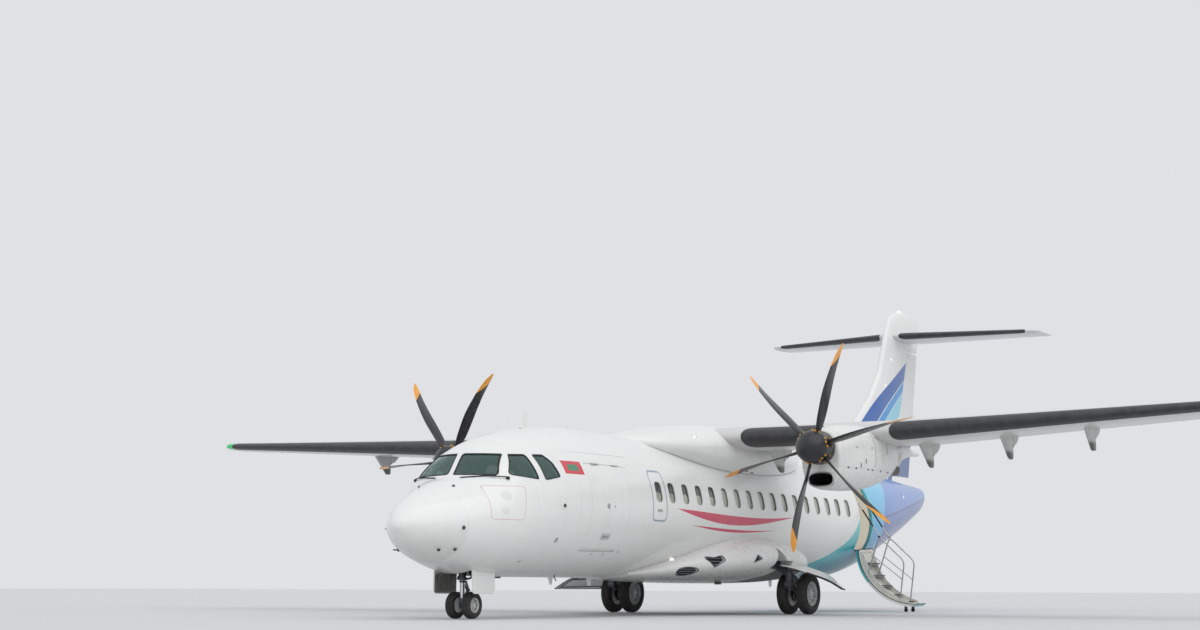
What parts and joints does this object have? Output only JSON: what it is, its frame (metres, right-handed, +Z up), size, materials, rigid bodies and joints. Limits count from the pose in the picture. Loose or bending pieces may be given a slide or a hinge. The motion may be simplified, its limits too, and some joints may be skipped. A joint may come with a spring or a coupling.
{
  "type": "turboprop airliner",
  "caption": "High-wing regional turboprop airliner with T-tail, six-blade propellers, wide main-gear pods and an open rear airstair, parked on its wheels",
  "frame": {"origin": "on the ground, under the middle of the aircraft's bounding box", "axes": "+X to port along the wing, +Y aft towards the tail, +Z up; the nose points along -Y"},
  "size_m": [24.57, 22.67, 7.59],
  "materials": {
    "white_paint": "gloss white paint",
    "blue_paint": "gloss periwinkle blue paint",
    "glazing": "clear windscreen glass",
    "black_panel": "matt black panel",
    "seat_cloth": "dark blue woven cloth",
    "bare_steel": "machined and brushed steel",
    "bare_alloy": "painted light alloy",
    "black_composite": "black painted composite",
    "tyre_rubber": "black tyre rubber"
  },
  "bodies": {
    "airframe": {"radome": "white_paint", "cockpit_section": "white_paint", "cockpit_glazing": "glazing", "instrument_panel": "black_panel", "pilot_seat_port": "seat_cloth", "pilot_seat_starboard": "seat_cloth", "forward_fuselage": "white_paint", "centre_fuselage": "white_paint", "wing_fairing": "white_paint", "gear_fairing": "white_paint", "aft_fuselage": "white_paint", "tail_section": "blue_paint", "tail_cone": "blue_paint", "centre_wing": "white_paint", "outer_wing_port": "white_paint", "outer_wing_starboard": "white_paint", "nacelle_port": "white_paint", "nacelle_starboard": "white_paint", "engine_port": "bare_steel", "engine_starboard": "bare_steel", "exhaust_pipe_port": "bare_steel", "exhaust_pipe_starboard": "bare_steel", "fin": "white_paint", "fin_top": "white_paint", "tailplane": "white_paint", "nose_gear_leg": "bare_steel", "nose_gear_door_port": "white_paint", "nose_gear_door_starboard": "white_paint", "main_gear_leg_port": "bare_steel", "main_gear_leg_starboard": "bare_steel", "main_gear_door_port": "white_paint", "main_gear_door_starboard": "white_paint"},
    "port_rotor": {"propeller_port": "black_composite", "spinner_port": "black_composite"},
    "starboard_rotor": {"propeller_starboard": "black_composite", "spinner_starboard": "black_composite"},
    "nose_steering": {"nose_gear_fork": "bare_steel"},
    "nose_wheel_pair": {"nose_wheels": "bare_alloy", "nose_tyre_port": "tyre_rubber", "nose_tyre_starboard": "tyre_rubber"},
    "main_wheel_pair_port": {"main_port_wheels": "bare_alloy", "main_port_tyre_outer": "tyre_rubber", "main_port_tyre_inner": "tyre_rubber"},
    "main_wheel_pair_starboard": {"main_starboard_wheels": "bare_alloy", "main_starboard_tyre_inner": "tyre_rubber", "main_starboard_tyre_outer": "tyre_rubber"},
    "inner_flap_port": {"flap_inner_port": "white_paint"},
    "inner_flap_starboard": {"flap_inner_starboard": "white_paint"},
    "outer_flap_port": {"flap_outer_port": "white_paint"},
    "outer_flap_starboard": {"flap_outer_starboard": "white_paint"},
    "aileron_body_port": {"aileron_port": "white_paint"},
    "aileron_body_starboard": {"aileron_starboard": "white_paint"},
    "elevator_body_port": {"elevator_port": "white_paint"},
    "elevator_body_starboard": {"elevator_starboard": "white_paint"},
    "rudder_body": {"rudder": "white_paint"},
    "airstair": {"airstair_door": "white_paint"},
    "upper_handrail_front": {"handrail_front": "bare_steel"},
    "upper_handrail_rear": {"handrail_rear": "bare_steel"},
    "cargo_door_leaf": {"cargo_door": "white_paint"}
  },
  "joints": [
    {"name": "propeller_spin_port", "type": "hinge", "parent": "airframe", "child": "port_rotor", "pos_m": [4.05, -4.135, 3.07], "axis": [0, 1, 0], "continuous": true},
    {"name": "propeller_spin_starboard", "type": "hinge", "parent": "airframe", "child": "starboard_rotor", "pos_m": [-4.05, -4.135, 3.07], "axis": [0, 1, 0], "continuous": true},
    {"name": "nose_steer", "type": "hinge", "parent": "airframe", "child": "nose_steering", "pos_m": [0, -9.455, 0.43], "axis": [0, 0, 1], "range_deg": [-60, 60]},
    {"name": "nose_wheel_spin", "type": "hinge", "parent": "nose_steering", "child": "nose_wheel_pair", "pos_m": [0, -9.415, 0.225], "axis": [1, 0, 0], "continuous": true},
    {"name": "main_wheel_spin_port", "type": "hinge", "parent": "airframe", "child": "main_wheel_pair_port", "pos_m": [2.05, -0.635, 0.41], "axis": [1, 0, 0], "continuous": true},
    {"name": "main_wheel_spin_starboard", "type": "hinge", "parent": "airframe", "child": "main_wheel_pair_starboard", "pos_m": [-2.05, -0.635, 0.41], "axis": [1, 0, 0], "continuous": true},
    {"name": "flap_inner_port_hinge", "type": "hinge", "parent": "airframe", "child": "inner_flap_port", "pos_m": [2.52, -0.6631, 3.073], "axis": [-1, 0, 0], "range_deg": [0, 35]},
    {"name": "flap_inner_starboard_hinge", "type": "hinge", "parent": "airframe", "child": "inner_flap_starboard", "pos_m": [-2.52, -0.6631, 3.073], "axis": [-1, 0, 0], "range_deg": [0, 35]},
    {"name": "flap_outer_port_hinge", "type": "hinge", "parent": "airframe", "child": "outer_flap_port", "pos_m": [6.61, -0.70742, 3.19226], "axis": [-0.9974, 0.0251, -0.0676], "range_deg": [0, 35]},
    {"name": "flap_outer_starboard_hinge", "type": "hinge", "parent": "airframe", "child": "outer_flap_starboard", "pos_m": [-6.61, -0.70742, 3.19226], "axis": [-0.9974, -0.0251, 0.0676], "range_deg": [0, 35]},
    {"name": "aileron_port_hinge", "type": "hinge", "parent": "airframe", "child": "aileron_body_port", "pos_m": [10.21, -0.5955, 3.68011], "axis": [-0.9979, 0.0454, -0.0457], "range_deg": [-15, 15]},
    {"name": "aileron_starboard_hinge", "type": "hinge", "parent": "airframe", "child": "aileron_body_starboard", "pos_m": [-10.21, -0.5955, 3.68011], "axis": [-0.9979, -0.0454, 0.0457], "range_deg": [-15, 15]},
    {"name": "elevator_port_hinge", "type": "hinge", "parent": "airframe", "child": "elevator_body_port", "pos_m": [1.905, 10.69761, 6.88], "axis": [-0.9988, -0.048, 0], "range_deg": [-23, 13]},
    {"name": "elevator_starboard_hinge", "type": "hinge", "parent": "airframe", "child": "elevator_body_starboard", "pos_m": [-1.905, 10.69761, 6.88], "axis": [-0.9988, 0.048, 0], "range_deg": [-23, 13]},
    {"name": "rudder_hinge", "type": "hinge", "parent": "airframe", "child": "rudder_body", "pos_m": [0, 9.78178, 4.945], "axis": [0, 0.3495, 0.9369], "range_deg": [-27, 27]},
    {"name": "airstair_hinge", "type": "hinge", "parent": "airframe", "child": "airstair", "pos_m": [1.27821, 4.34, 1.361], "axis": [0, 1, 0], "range_deg": [-147, 0]},
    {"name": "handrail_front_fold", "type": "hinge", "parent": "airstair", "child": "upper_handrail_front", "pos_m": [1.84259, 4.074, 1.65713], "axis": [0, 1, 0], "range_deg": [0, 155]},
    {"name": "handrail_rear_fold", "type": "hinge", "parent": "airstair", "child": "upper_handrail_rear", "pos_m": [1.84259, 4.606, 1.65713], "axis": [0, 1, 0], "range_deg": [0, 155]},
    {"name": "cargo_door_hinge", "type": "hinge", "parent": "airframe", "child": "cargo_door_leaf", "pos_m": [1.25603, -6.9475, 2.675], "axis": [0, -1, 0], "range_deg": [0, 95]}
  ],
  "couplings": [
    {"joint": "flap_inner_starboard_hinge", "follows": "flap_inner_port_hinge", "ratio": 1},
    {"joint": "flap_outer_port_hinge", "follows": "flap_inner_port_hinge", "ratio": 1},
    {"joint": "flap_outer_starboard_hinge", "follows": "flap_inner_port_hinge", "ratio": 1},
    {"joint": "aileron_starboard_hinge", "follows": "aileron_port_hinge", "ratio": -1},
    {"joint": "elevator_starboard_hinge", "follows": "elevator_port_hinge", "ratio": 1},
    {"joint": "handrail_front_fold", "follows": "airstair_hinge", "ratio": -1.05},
    {"joint": "handrail_rear_fold", "follows": "airstair_hinge", "ratio": -1.05}
  ]
}
